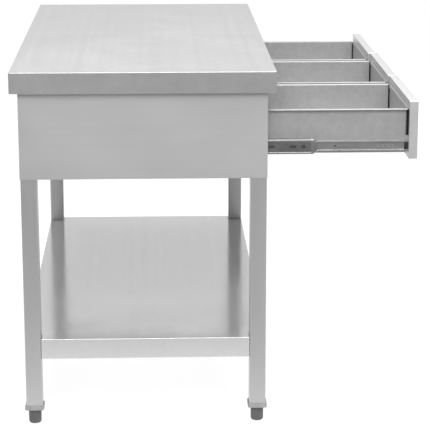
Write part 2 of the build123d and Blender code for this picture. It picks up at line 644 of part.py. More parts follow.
def make_cages(name, centre_x, out, seat, height, depth, ball_seat, ball_radius):
    """The ball cages of one stage, a left and a right one, with their rows of balls."""
    front_y = CAGE_FRONT_Y - out
    with BuildPart() as cages:
        for side in (-1, 1):
            back_x = centre_x + side * (CABINET_WALL - seat)
            with BuildSketch(plane_at_y(front_y + CAGE_LENGTH)):
                channel_section(back_x, -side, depth, height, CAGE_SHEET, 0)
            along_y(front_y, front_y + CAGE_LENGTH)
            ball_x = centre_x + side * (CABINET_WALL - ball_seat)
            for row in (-1, 1):
                ball_z = SLIDE_Z + row * (height - CAGE_SHEET) / 2
                first_y = front_y + (CAGE_LENGTH - (BALLS_IN_ROW - 1) * BALL_PITCH) / 2
                for ball in range(BALLS_IN_ROW):
                    ball_y = first_y + ball * BALL_PITCH
                    with Locations((ball_x, ball_y, ball_z)):
                        Sphere(ball_radius)
    save(cages, name)


for number, centre_x in enumerate(DRAWER_CENTRES):
    drawer = f"drawer_{number + 1}"
    drawer_out = DRAWER_OUT[number]
    middle_out = MIDDLE_OUT[number]
    make_box(drawer, centre_x, drawer_out)
    make_front(drawer, centre_x, drawer_out)
    make_screws(drawer, centre_x, drawer_out)
    make_bumpers(drawer, centre_x, drawer_out)
    for side_name, side in (("left", -1), ("right", 1)):
        make_outer_member(drawer, side_name, centre_x, side)
        make_middle_member(drawer, side_name, centre_x, side, middle_out)
        make_inner_member(drawer, side_name, centre_x, side, drawer_out)
    # a cage travels half as far as the member that rolls on it
    outer_cage_out = middle_out / 2
    inner_cage_out = (middle_out + drawer_out) / 2
    make_cages(
        f"{drawer}_outer_cages", centre_x, outer_cage_out, OUTER_CAGE_SEAT, OUTER_CAGE_HEIGHT,
        OUTER_CAGE_DEPTH, OUTER_BALL_SEAT, OUTER_BALL_RADIUS
    )
    make_cages(
        f"{drawer}_inner_cages", centre_x, inner_cage_out, INNER_CAGE_SEAT, INNER_CAGE_HEIGHT,
        INNER_CAGE_DEPTH, INNER_BALL_SEAT, INNER_BALL_RADIUS
    )
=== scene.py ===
import math

import bmesh
import bpy
from bpy.props import FloatProperty, FloatVectorProperty, IntProperty, PointerProperty
from mathutils import Matrix, Vector


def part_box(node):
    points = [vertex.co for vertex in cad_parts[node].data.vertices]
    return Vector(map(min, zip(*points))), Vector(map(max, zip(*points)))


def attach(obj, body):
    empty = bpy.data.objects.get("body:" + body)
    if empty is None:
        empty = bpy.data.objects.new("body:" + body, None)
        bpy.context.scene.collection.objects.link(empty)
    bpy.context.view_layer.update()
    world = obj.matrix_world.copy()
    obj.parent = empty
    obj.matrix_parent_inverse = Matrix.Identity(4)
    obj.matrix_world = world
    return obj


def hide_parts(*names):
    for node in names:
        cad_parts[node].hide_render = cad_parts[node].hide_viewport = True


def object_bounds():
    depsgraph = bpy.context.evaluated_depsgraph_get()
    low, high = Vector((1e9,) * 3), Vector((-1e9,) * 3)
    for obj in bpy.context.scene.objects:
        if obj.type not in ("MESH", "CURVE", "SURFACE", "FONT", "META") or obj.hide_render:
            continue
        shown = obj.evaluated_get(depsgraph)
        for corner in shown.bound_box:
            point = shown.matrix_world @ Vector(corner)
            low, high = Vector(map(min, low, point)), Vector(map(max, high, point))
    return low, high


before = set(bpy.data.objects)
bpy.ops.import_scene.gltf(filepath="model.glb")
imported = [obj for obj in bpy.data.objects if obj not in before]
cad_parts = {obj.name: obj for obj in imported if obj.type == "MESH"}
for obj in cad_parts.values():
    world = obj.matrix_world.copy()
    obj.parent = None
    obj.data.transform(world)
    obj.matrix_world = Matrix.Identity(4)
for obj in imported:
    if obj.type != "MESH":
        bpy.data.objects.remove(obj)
CAD_BOX = [list(corner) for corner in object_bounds()]

bl_info = {
    "name": "Stainless work table",
    "version": (1, 0, 0),
    "blender": (4, 5, 0),
    "location": "View3D > Sidebar > Work Table",
    "description": "Builds a kitchen work table with three drawers and an undershelf around its CAD frame",
    "category": "Add Mesh",
}

MM = 0.001
CORNERS = ("front_left", "front_right", "back_left", "back_right")
DRAWERS = ("drawer_1", "drawer_2", "drawer_3")
SIDES = {"left": -1, "right": 1}
BEND_STEPS = 5
CORNER_STEPS = 4

# the drawer boxes: flanges, hems and the clips outside their front corners
FLANGE = 11.5 * MM
FLANGE_FOLD = 5 * MM
BOX_HEM = 9 * MM
HEM_GAP = 1.6 * MM
SIDE_SETBACK = 4.5 * MM
SHEET_GAP = 0.1 * MM
CLIP_DROP = 2.1 * MM
CLIP_TALL = 60 * MM
CLIP_OUT = 4.5 * MM
CLIP_BACK = 5.5 * MM

# the slides, in millimetres: half sections as (distance from the wall, height),
# punchings as (distance from the front end, length, height)
SLIDE_LENGTH = 450
OUTER_SECTION = ((9.3, 20.6), (9.4, 22.4), (2.2, 22.4), (0.6, 20.9))
MIDDLE_SECTION = ((9.9, 17.0), (4.2, 17.0), (2.7, 15.4), (2.7, 13.6), (3.5, 12.6))
NOSE_SECTION = ((9.9, 17.0), (4.6, 17.0), (3.0, 14.6), (3.0, 11.0))
INNER_SECTION = ((5.1, 10.4), (10.9, 10.4), (12.1, 9.2))
NOSE_LENGTH = 14 * MM
# a bumper's rings, as (share of its depth, inset)
BUMPER_PROFILE = (
    (0.0, 0.8), (0.05, 0.3), (0.14, 0.0), (0.55, 0.0), (0.60, 0.4), (0.66, 0.4), (0.72, 0.0), (1.0, 0.0),
)
RIVETS = (10, 358, 430)
SLIDE_SCREWS = (165, 280, 400)
MIDDLE_PUNCHINGS = ((32, 10, 10), (56, 16, 7), (105, 16, 7), (205, 16, 7), (305, 16, 7), (418, 10, 10))
INNER_PUNCHINGS = ((27, 3.5, 9), (37, 3.5, 9), (50, 3.5, 9), (60, 4.8, 4.8))

# the feet, their stems and the collars
STEM_RADIUS = 6 * MM
THREAD_DEPTH = 0.7 * MM
THREAD_TURNS = 16
COLLAR_SIZE = 44.4 * MM
COLLAR_RIM = 10 * MM
COLLAR_BORE = 6.3 * MM

# the studio
OVERHEAD_AT = (0.2, -0.2, 2.3)
OVERHEAD_SIZE = (3.4, 2.6)
FRONT_AT = (-2.6, -0.4, 1.4)
FRONT_AIM = (0, 0, -0.4)
FRONT_SIZE = (2.4, 1.2)
GLOW_FADE = (-1.35, -0.66)


# ---------------------------------------------------------------- settings
class WorkTableSizes(bpy.types.PropertyGroup):
    """Sizes that the sheet metal and the small pieces are made to."""

    sheet: FloatProperty(
        name="Sheet", description="Thickness of the panels' sheet", default=1.2 * MM, unit="LENGTH"
    )
    drawer_sheet: FloatProperty(
        name="Drawer sheet", description="Thickness of the drawer boxes' sheet",
        default=1.0 * MM, unit="LENGTH"
    )
    edge_bend: FloatProperty(
        name="Edge bend", description="Outer radius of the folded edges", default=1.4 * MM, unit="LENGTH"
    )
    corner: FloatProperty(
        name="Corner", description="Radius of the welded and ground corners",
        default=2.5 * MM, unit="LENGTH"
    )
    hem: FloatProperty(
        name="Hem", description="Width of the returns under the worktop and shelf",
        default=16 * MM, unit="LENGTH"
    )
    front_lip: FloatProperty(
        name="Front lip", description="Width of the lips behind a drawer front",
        default=30 * MM, unit="LENGTH"
    )
    ball_sides: IntProperty(
        name="Ball facets", description="Facets round each bearing ball", default=14, min=8, max=32
    )


class WorkTableFinish(bpy.types.PropertyGroup):
    """Colours and gloss of the metals and plastics."""

    steel: FloatVectorProperty(
        name="Stainless", description="Colour of the stainless sheet", default=(0.640, 0.640, 0.640),
        subtype="COLOR", size=3, min=0, max=1,
    )
    zinc: FloatVectorProperty(
        name="Zinc plate", description="Colour of the plated slides", default=(0.600, 0.600, 0.600),
        subtype="COLOR", size=3, min=0, max=1,
    )
    foot: FloatVectorProperty(
        name="Foot", description="Colour of the feet's plastic", default=(0.110, 0.110, 0.110),
        subtype="COLOR", size=3, min=0, max=1,
    )
    collar: FloatVectorProperty(
        name="Collar", description="Colour of the leg collars' plastic", default=(0.36, 0.36, 0.36),
        subtype="COLOR", size=3, min=0, max=1,
    )
    brush_roughness: FloatProperty(
        name="Brushed roughness", description="Mean roughness of the brushed sheet", default=0.30,
        subtype="FACTOR", min=0, max=1,
    )


class WorkTableStudio(bpy.types.PropertyGroup):
    """The floor, the lights and the camera."""

    floor_size: FloatProperty(
        name="Floor", description="Width of the pale floor", default=40.0, unit="LENGTH"
    )
    camera_back: FloatProperty(
        name="Camera distance", description="From the table's middle, along its length",
        default=4.4485, unit="LENGTH"
    )
    camera_aside: FloatProperty(
        name="Camera offset", description="Towards the drawers' side", default=0.020, unit="LENGTH"
    )
    camera_height: FloatProperty(
        name="Camera height", description="Above the worktop", default=0.640, unit="LENGTH"
    )
    camera_tilt: FloatProperty(
        name="Camera tilt", description="Downward tilt of the camera",
        default=math.radians(14.13), subtype="ANGLE"
    )
    camera_turn: FloatProperty(
        name="Camera turn", description="Turn towards the drawers' side",
        default=math.radians(2.10), subtype="ANGLE"
    )
    camera_lens: FloatProperty(
        name="Lens", description="Focal length in millimetres on a 36 mm sensor", default=145.9
    )
    backdrop: FloatProperty(
        name="Backdrop", description="Brightness of the white backdrop beyond the table",
        default=0.78, min=0
    )
    room: FloatProperty(
        name="Room", description="Brightness of the room on the camera's side", default=0.15, min=0
    )
    floor_glow: FloatProperty(
        name="Floor glow", description="Light that the floor gives off, as a light table does",
        default=0.84, min=0
    )
    softbox: FloatProperty(
        name="Softbox", description="Power of the overhead softbox in watts", default=82.0, min=0
    )
    front_light: FloatProperty(
        name="Front light", description="Power of the softbox over the camera in watts", default=62.0, min=0
    )


def sizes():
    """The scene's size settings."""
    return bpy.context.scene.work_table_sizes


def finish():
    """The scene's finish settings."""
    return bpy.context.scene.work_table_finish


def studio():
    """The scene's studio settings."""
    return bpy.context.scene.work_table_studio


# ---------------------------------------------------------------- materials
class Nodes:
    """A short way to write a material's node tree."""

    def __init__(self, name):
        self.material = bpy.data.materials.new(name)
        self.material.use_nodes = True
        self.tree = self.material.node_tree
        self.shader = self.tree.nodes["Principled BSDF"]
        self.place = self.add("ShaderNodeTexCoord").outputs["Object"]

    def add(self, kind, **settings):
        node = self.tree.nodes.new(kind)
        for key, value in settings.items():
            setattr(node, key, value)
        return node

    def link(self, output, socket):
        self.tree.links.new(output, socket)

    def mapped(self, scale, turn=(0, 0, 0)):
        node = self.add("ShaderNodeMapping")
        node.inputs["Scale"].default_value = scale
        node.inputs["Rotation"].default_value = turn
        self.link(self.place, node.inputs["Vector"])
        return node.outputs["Vector"]

    def noise(self, scale, detail=4.0, rough=0.55, turn=(0, 0, 0)):
        node = self.add("ShaderNodeTexNoise")
        node.inputs["Scale"].default_value = 1.0
        node.inputs["Detail"].default_value = detail
        node.inputs["Roughness"].default_value = rough
        self.link(self.mapped(scale, turn), node.inputs["Vector"])
        return node.outputs["Fac"]

    def cells(self, scale, output="Distance"):
        node = self.add("ShaderNodeTexVoronoi")
        node.inputs["Scale"].default_value = 1.0
        self.link(self.mapped(scale), node.inputs["Vector"])
        return node.outputs[output]

    def ramp(self, value, low, high, start=0.3, end=0.7):
        node = self.add("ShaderNodeMapRange")
        node.inputs["From Min"].default_value = start
        node.inputs["From Max"].default_value = end
        node.inputs["To Min"].default_value = low
        node.inputs["To Max"].default_value = high
        self.link(value, node.inputs["Value"])
        return node.outputs["Result"]

    def sum(self, one, other, operation="ADD"):
        node = self.add("ShaderNodeMath", operation=operation)
        for socket, value in zip(node.inputs, (one, other)):
            if isinstance(value, float):
                socket.default_value = value
            else:
                self.link(value, socket)
        return node.outputs["Value"]

    def colour(self, value, dark, light):
        node = self.add("ShaderNodeMix", data_type="RGBA")
        node.inputs["A"].default_value = (*dark, 1)
        node.inputs["B"].default_value = (*light, 1)
        self.link(value, node.inputs["Factor"])
        # the colour output of a mix node is its third one
        self.link(node.outputs[2], self.shader.inputs["Base Color"])

    def bump(self, value, strength, distance):
        node = self.add("ShaderNodeBump")
        node.inputs["Strength"].default_value = strength
        node.inputs["Distance"].default_value = distance
        self.link(value, node.inputs["Height"])
        self.link(node.outputs["Normal"], self.shader.inputs["Normal"])


def shaded(colour, factor):
    """A colour made lighter or darker."""
    return tuple(min(1.0, c * factor) for c in colour)


def once(build):
    """Make each material one time; its name has to differ from those of the frame's own materials."""
    def get(name, *settings):
        return bpy.data.materials.get(name) or build(name, *settings)
    return get


# how many times finer the grain runs across itself than along, per axis
GRAIN = {"x": (4, 520, 520), "y": (520, 4, 520), "z": (520, 520, 4)}


@once
def brushed_steel(name, grain, tone=1.0, roughness=0.0, metallic=1.0):
    """Brushed stainless sheet: fine lines along the grain, faint rubbed patches, a few scratches."""
    mat = Nodes(name)
    along = GRAIN[grain]
    lines = mat.noise(along, detail=5.0, rough=0.7)
    broad = mat.noise(tuple(s / 9 for s in along), detail=3.0)
    patches = mat.noise((2.2, 2.8, 2.5), detail=3.0, rough=0.5)
    rubbed = mat.noise((9, 7, 8), detail=5.0, rough=0.6)
    scratches = mat.noise((35, 260, 90), detail=2.0, turn=(0.3, 0.7, 0.45))
    mixed = mat.sum(mat.sum(lines, 0.6, "MULTIPLY"), mat.sum(broad, 0.4, "MULTIPLY"))
    # painted light and shade: tone makes lighter or darker copies of the one stainless, set per part for how
    # the light falls on it
    steel = shaded(finish().steel, tone)
    shade = mat.sum(mat.sum(mixed, 0.75, "MULTIPLY"), mat.sum(patches, 0.25, "MULTIPLY"))
    mat.colour(mat.ramp(shade, 0.0, 1.0, 0.36, 0.64), shaded(steel, 0.955), shaded(steel, 1.04))
    base = finish().brush_roughness + roughness
    rough = mat.sum(mat.ramp(mixed, -0.05, 0.06), mat.ramp(rubbed, base - 0.03, base + 0.04))
    rough = mat.sum(rough, mat.ramp(patches, -0.03, 0.03))
    rough = mat.sum(rough, mat.ramp(scratches, 0.0, 0.05, 0.68, 0.74))
    mat.link(rough, mat.shader.inputs["Roughness"])
    mat.shader.inputs["Metallic"].default_value = metallic
    mat.bump(mixed, base * base, 0.02 * MM)
    return mat.material


@once
def drawer_steel(name):
    """Cold-rolled stainless of the drawer boxes: smoother, with a mottled sheen."""
    mat = Nodes(name)
    mottle = mat.noise((60, 60, 60), detail=6.0, rough=0.7)
    rolled = mat.noise((300, 6, 300), detail=4.0, rough=0.6)
    rubbed = mat.noise((6, 9, 7), detail=3.0)
    # painted shade: the drawer boxes get a darker copy of the stainless (0.80), set for how the light falls
    # on them
    steel = shaded(finish().steel, 0.80)
    mat.colour(mat.ramp(mottle, 0.0, 1.0, 0.38, 0.62), shaded(steel, 0.93), shaded(steel, 1.04))
    rough = mat.sum(mat.ramp(rolled, 0.34, 0.42), mat.ramp(rubbed, -0.03, 0.05))
    mat.link(rough, mat.shader.inputs["Roughness"])
    mat.shader.inputs["Metallic"].default_value = 0.55
    mat.bump(mottle, 0.12, 0.03 * MM)
    return mat.material


@once
def galvanised_steel(name):
    """Galvanised sheet of the hidden channels and carriers, with its spangle."""
    mat = Nodes(name)
    spangle = mat.cells((70, 70, 70), "Color")
    grey = mat.add("ShaderNodeRGBToBW")
    mat.link(spangle, grey.inputs["Color"])
    fine = mat.noise((220, 220, 220), detail=4.0)
    zinc = finish().zinc
    mixed = mat.sum(mat.sum(grey.outputs["Val"], 0.7, "MULTIPLY"), mat.sum(fine, 0.3, "MULTIPLY"))
    mat.colour(mat.ramp(mixed, 0.0, 1.0, 0.25, 0.75), shaded(zinc, 0.80), shaded(zinc, 1.02))
    mat.link(mat.ramp(mixed, 0.34, 0.52, 0.2, 0.8), mat.shader.inputs["Roughness"])
    mat.shader.inputs["Metallic"].default_value = 1.0
    mat.bump(mixed, 0.15, 0.04 * MM)
    return mat.material


@once
def plated_steel(name, tone, low, high):
    """Plated or polished small steel: fine drawing marks along the slides and slight clouding."""
    mat = Nodes(name)
    drawn = mat.noise((900, 25, 900), detail=3.0)
    cloud = mat.noise((40, 30, 40), detail=4.0)
    mixed = mat.sum(mat.sum(drawn, 0.5, "MULTIPLY"), mat.sum(cloud, 0.5, "MULTIPLY"))
    # tone scales the zinc's colour per piece; on the slide members, cage strips and drawer clips it paints
    # light and shade as lighter or darker copies of the one plating
    zinc = shaded(finish().zinc, tone)
    mat.colour(mat.ramp(mixed, 0.0, 1.0, 0.36, 0.64), shaded(zinc, 0.90), shaded(zinc, 1.06))
    mat.link(mat.ramp(mixed, low, high, 0.36, 0.64), mat.shader.inputs["Roughness"])
    mat.shader.inputs["Metallic"].default_value = 1.0
    mat.bump(mixed, 0.10, 0.02 * MM)
    return mat.material


@once
def moulded(name, colour, low, high, grain):
    """Moulded plastic or rubber: a fine skin texture and slightly scuffed patches."""
    mat = Nodes(name)
    skin = mat.noise((grain, grain, grain), detail=4.0, rough=0.6)
    scuffs = mat.noise((60, 60, 90), detail=4.0, rough=0.65)
    mat.colour(mat.ramp(scuffs, 0.0, 1.0), shaded(colour, 0.88), shaded(colour, 1.14))
    rough = mat.sum(mat.ramp(scuffs, low, high), mat.ramp(skin, -0.03, 0.03))
    mat.link(rough, mat.shader.inputs["Roughness"])
    mat.bump(skin, 0.25, 0.08 * MM)
    return mat.material


def pale_floor(name):
    """The studio floor: even, matte and nearly white."""
    mat = Nodes(name)
    cloud = mat.noise((0.8, 0.8, 0.8), detail=3.0)
    mat.colour(mat.ramp(cloud, 0.0, 1.0), (0.295, 0.295, 0.295), (0.30, 0.30, 0.30))
    mat.link(mat.ramp(cloud, 0.72, 0.80), mat.shader.inputs["Roughness"])
    mat.shader.inputs["Emission Color"].default_value = (1, 1, 1, 1)
    along = mat.add("ShaderNodeSeparateXYZ")
    mat.link(mat.place, along.inputs["Vector"])
    glow = mat.ramp(along.outputs["X"], 0.10, studio().floor_glow, *GLOW_FADE)
    mat.link(glow, mat.shader.inputs["Emission Strength"])
    mat.shader.inputs["Specular IOR Level"].default_value = 0.2
    return mat.material


# ---------------------------------------------------------------- mesh tools
def filleted(points, radius, closed=False):
    """A line through the points with round corners, as (place, left normal) pairs."""
    pts = [Vector(p) for p in points]
    count = len(pts)
    line = []
    for i, corner in enumerate(pts):
        if not closed and i in (0, count - 1):
            step = (pts[1] - pts[0]) if i == 0 else (pts[-1] - pts[-2])
            step.normalize()
            line.append((corner.copy(), Vector((-step.y, step.x))))
            continue
        before = (corner - pts[i - 1]).normalized()
        after = (pts[(i + 1) % count] - corner).normalized()
        turn = before.x * after.y - before.y * after.x
        angle = math.acos(max(-1.0, min(1.0, before.dot(after))))
        reach = min((corner - pts[i - 1]).length, (pts[(i + 1) % count] - corner).length) * 0.49
        size = min(radius, reach / max(math.tan(angle / 2), 1e-6))
        tangent = size * math.tan(angle / 2)
        side = 1 if turn > 0 else -1
        left = Vector((-before.y, before.x))
        centre = corner - before * tangent + left * side * size
        for k in range(BEND_STEPS + 1):
            swing = side * angle * k / BEND_STEPS
            normal = Matrix.Rotation(swing, 2) @ left
            line.append((centre - normal * side * size, normal))
    return line


def strip_outline(points, thickness, radius):
    """The closed outline of a folded strip whose middle line runs through the points."""
    line = filleted(points, radius)
    left = [p + n * thickness / 2 for p, n in line]
    right = [p - n * thickness / 2 for p, n in reversed(line)]
    return left + right


def round_rectangle(width, height, radius, steps=CORNER_STEPS):
    """The outline of a rectangle with round corners about the origin, counter-clockwise."""
    outline = []
    radius = min(radius, width / 2 - 1e-5, height / 2 - 1e-5)
    for quarter in range(4):
        sx = (1, -1, -1, 1)[quarter]
        sy = (1, 1, -1, -1)[quarter]
        for k in range(steps + 1):
            angle = math.pi / 2 * (quarter + k / steps)
            outline.append(
                Vector((
                    sx * (width / 2 - radius) + radius * math.cos(angle),
                    sy * (height / 2 - radius) + radius * math.sin(angle),
                ))
            )
    return outline


def level(outline, centre, z):
    """An outline laid flat about a centre at a height."""
    return [Vector((centre.x + p.x, centre.y + p.y, z)) for p in outline]


def circle(radius, count=40):
    """Points round a circle about the origin."""
    return [
        Vector((radius * math.cos(math.tau * k / count), radius * math.sin(math.tau * k / count)))
        for k in range(count)
    ]


def loft(bm, rings, close=False):
    """Faces between rings of equal count, capped at both ends or joined end to end."""
    rows = [[bm.verts.new(p) for p in ring] for ring in rings]
    pairs = list(zip(rows, rows[1:]))
    if close:
        pairs.append((rows[-1], rows[0]))
    for low, high in pairs:
        for k in range(len(low)):
            after = (k + 1) % len(low)
            bm.faces.new((low[k], low[after], high[after], high[k]))
    if not close:
        bm.faces.new(list(reversed(rows[0])))
        bm.faces.new(rows[-1])


def along_x(u, v, w):
    """A section drawn in Y and Z, run along X."""
    return Vector((w, u, v))


def along_y(u, v, w):
    """A section drawn in X and Z, run along Y."""
    return Vector((u, w, v))


def along_z(u, v, w):
    """A section drawn in X and Y, run along Z."""
    return Vector((u, v, w))


def run_section(bm, outline, place, start, end):
    """A solid of one section between two distances along its axis."""
    loft(bm, [[place(p.x, p.y, w) for p in outline] for w in (start, end)])


def folded(bm, points, place, start, end, thickness=None, radius=None):
    """A folded strip of sheet, its section's middle line given, run from start to end."""
    thickness = thickness or sizes().sheet
    radius = radius or 1.1 * thickness
    run_section(bm, strip_outline(points, thickness, radius), place, start, end)


def arc_steps(centre_inset, centre_depth, radius, first, last):
    """Inset and depth along a bend of a pan's edge, between two angles in degrees."""
    steps = []
    for k in range(BEND_STEPS + 1):
        angle = math.radians(first + (last - first) * k / BEND_STEPS)
        steps.append((centre_inset - radius * math.cos(angle), centre_depth - radius * math.sin(angle)))
    return steps


def pan_profile(depth, sheet, bend, lip):
    """Inset and depth of the rings of a folded pan, from its face round its edge to its inside."""
    inner = max(bend - sheet, 0.4 * MM)
    outside = arc_steps(bend, bend, bend, 90, 0) + arc_steps(bend, depth - bend, bend, 0, -90)
    lip_edge = [(lip, depth), (lip, depth - sheet)]
    low = arc_steps(sheet + inner, depth - sheet - inner, inner, -90, 0)
    high = arc_steps(sheet + inner, sheet + inner, inner, 0, 90)
    return outside + lip_edge + low + high


def below(top):
    """Where a pan that lies flat under a height has its points."""
    return lambda u, v, depth: Vector((u, v, top - depth))


def pan(bm, outline_at, place, depth, sheet, bend, lip):
    """A folded pan: outline_at gives its plan at an inset, and place puts (u, v, depth) in space."""
    profile = pan_profile(depth, sheet, bend, lip)
    loft(bm, [[place(p.x, p.y, d) for p in outline_at(inset)] for inset, d in profile])


def to_mesh(name, bm, sharp=38):
    """Close up a bmesh into a mesh with clean outward normals and crisp edges."""
    bmesh.ops.remove_doubles(bm, verts=bm.verts, dist=0.001 * MM)
    bmesh.ops.recalc_face_normals(bm, faces=bm.faces)
    for face in bm.faces:
        face.smooth = True
    mesh = bpy.data.meshes.new(name)
    bm.to_mesh(mesh)
    bm.free()
    mesh.set_sharp_from_angle(angle=math.radians(sharp))
    return mesh


def cut(mesh, cutters):
    """The mesh with the cutter meshes taken away from it."""
    host = bpy.data.objects.new("host", mesh)
    bpy.context.scene.collection.objects.link(host)
    tool = bpy.data.objects.new("tool", cutters)
    bpy.context.scene.collection.objects.link(tool)
    bore = host.modifiers.new("bore", "BOOLEAN")
    bore.operation = "DIFFERENCE"
    bore.solver = "EXACT"
    bore.object = tool
    depsgraph = bpy.context.evaluated_depsgraph_get()
    made = bpy.data.meshes.new_from_object(host.evaluated_get(depsgraph))
    bpy.data.objects.remove(host)
    bpy.data.objects.remove(tool)
    for face in made.polygons:
        face.material_index = 0
        face.use_smooth = True
    made.set_sharp_from_angle(angle=math.radians(38))
    return made


def piece(name, shape, material, body, slot, *nodes):
    """Place a shape as a named piece that rides on its body and stands for its CAD nodes."""
    mesh = shape if isinstance(shape, bpy.types.Mesh) else to_mesh(name, shape)
    made = bpy.data.objects.new(name, mesh)
    bpy.context.scene.collection.objects.link(made)
    mesh.materials.clear()
    mesh.materials.append(material)
    weighted = made.modifiers.new("weighted_normals", "WEIGHTED_NORMAL")
    weighted.keep_sharp = True
    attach(made, body)
    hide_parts(*nodes)
    return made


def hole_cutters(spots, radius, length, axis):
    """Round cutters at the spots, run along the axis."""
    bm = bmesh.new()
    turn = Vector((0, 0, 1)).rotation_difference(Vector(axis)).to_matrix()
    for spot in spots:
        rings = []
        for w in (-length / 2, length / 2):
            rings.append([Vector(spot) + turn @ Vector((p.x, p.y, w)) for p in circle(radius, 24)])
        loft(bm, rings)
    return to_mesh("cutters", bm)


def punchings(planes, front, mid_z, spots, steps):
    """Cutters for round-ended holes in a slide member's web, run between two planes across X."""
    bm = bmesh.new()
    for back, wide, tall in spots:
        radius = (min(wide, tall) / 2 - 0.01) * MM
        outline = round_rectangle(wide * MM, tall * MM, radius, steps)
        rings = []
        for x in planes:
            rings.append([Vector((x, front + back * MM + p.x, mid_z + p.y)) for p in outline])
        loft(bm, rings)
    return to_mesh("punchings", bm)


def middle_of(node):
    """The middle of a CAD node's box."""
    low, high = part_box(node)
    return (low + high) / 2


# ---------------------------------------------------------------- fasteners
def screw_mesh(radius, height, recess):
    """A pan head with a cross recess, its seat at the origin and its top along +Z."""
    bm = bmesh.new()
    profile = [(0.97, -0.02), (1.0, 0.12), (0.98, 0.45), (0.90, 0.72), (0.72, 0.92), (0.45, 1.0)]
    loft(bm, [[Vector((p.x, p.y, z * height)) for p in circle(radius * r, 28)] for r, z in profile])
    head = to_mesh("head", bm)
    if not recess:
        return head
    bm = bmesh.new()
    for long_x, long_y in ((1.0, 0.22), (0.22, 1.0)):
        rings = []
        for grow, z in ((0.72, 0.35), (1.0, 1.2)):
            outline = round_rectangle(radius * long_x * grow, radius * long_y * grow, 0.1 * MM, 2)
            rings.append([Vector((p.x, p.y, z * height)) for p in outline])
        loft(bm, rings)
    cross = to_mesh("cross", bm)
    return cut(head, cross)


def stamp(bm, mesh, seat, direction):
    """Add a copy of a mesh at a seat, its +Z turned to the direction."""
    turn = Vector((0, 0, 1)).rotation_difference(Vector(direction)).to_matrix().to_4x4()
    placed = mesh.copy()
    placed.transform(Matrix.Translation(Vector(seat)) @ turn)
    bm.from_mesh(placed)
    bpy.data.meshes.remove(placed)


def shank(bm, seat, direction, radius, length):
    """A plain shank with a chamfered end, run from the seat against the direction."""
    turn = Vector((0, 0, 1)).rotation_difference(Vector(direction)).to_matrix()
    rings = []
    for r, z in ((0.55, -length), (1.0, -length + radius * 0.5), (1.0, 0.1 * MM)):
        rings.append([Vector(seat) + turn @ Vector((p.x, p.y, z)) for p in circle(radius * r, 16)])
    loft(bm, rings)


# ---------------------------------------------------------------- operators
class WORKTABLE_OT_worktop(bpy.types.Operator):
    """Fold the worktop and weld its stiffening channels under it"""

    bl_idname = "worktable.worktop"
    bl_label = "Worktop"

    def execute(self, context):
        """Build the worktop and its stiffeners."""
        made = sizes()
        low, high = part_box("worktop")
        bm = bmesh.new()

        def outline(inset):
            radius = max(made.corner - inset, 0.3 * MM)
            return round_rectangle(high.x - low.x - 2 * inset, high.y - low.y - 2 * inset, radius)

        pan(bm, outline, below(high.z), high.z - low.z, made.sheet, made.edge_bend, made.hem)
        # painted shade: the worktop gets a darker copy of the stainless (tone 0.84) so its top reads darker
        steel = brushed_steel("worktop_grain", "x", 0.84, 0.06, 0.7)
        piece("worktop_sheet", bm, steel, "root", "brushed_top", "worktop")
        stiffeners("worktop_stiffeners")
        return {"FINISHED"}


def stiffeners(node):
    """The two hat channels that stiffen a sheet from below, as one piece."""
    low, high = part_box(node)
    sheet = sizes().sheet
    flange = 15 * MM
    width = 90 * MM
    bm = bmesh.new()
    for start in (low.y, high.y - width):
        end = start + width
        top = high.z - sheet / 2
        bottom = low.z + sheet / 2
        wall = flange + sheet / 2
        points = [
            (start, top), (start + wall, top), (start + wall, bottom),
            (end - wall, bottom), (end - wall, top), (end, top),
        ]
        folded(bm, points, along_x, low.x, high.x)
    zinc = galvanised_steel("galvanised_sheet")
    piece(f"{node}_channels", bm, zinc, "root", "galvanised", node)


class WORKTABLE_OT_undershelf(bpy.types.Operator):
    """Fold the undershelf with its notches round the legs"""

    bl_idname = "worktable.undershelf"
    bl_label = "Undershelf"

    def execute(self, context):
        """Build the undershelf and its stiffeners."""
        made = sizes()
        low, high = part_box("undershelf")
        leg_low, leg_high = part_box("leg_front_left")
        notch = leg_high.x - leg_low.x + 0.4 * MM
        half_x = high.x
        half_y = high.y

        def outline(inset):
            x, y = half_x - inset, half_y - inset
            nx, ny = half_x - notch - inset, half_y - notch - inset
            points = [
                (x, -ny), (x, ny), (nx, ny), (nx, y), (-nx, y), (-nx, ny),
                (-x, ny), (-x, -ny), (-nx, -ny), (-nx, -y), (nx, -y), (nx, -ny),
            ]
            return [p for p, _ in filleted(points, 1.0 * MM, closed=True)]

        bm = bmesh.new()
        pan(bm, outline, below(high.z), high.z - low.z, made.sheet, made.edge_bend, made.hem)
        # painted light: the undershelf gets a lighter copy of the stainless (tone 1.16) so it reads brighter
        steel = brushed_steel("shelf_grain", "x", 1.16, -0.17, 0.7)
        piece("undershelf_sheet", bm, steel, "root", "brushed_shelf", "undershelf")
        stiffeners("undershelf_stiffeners")
        return {"FINISHED"}


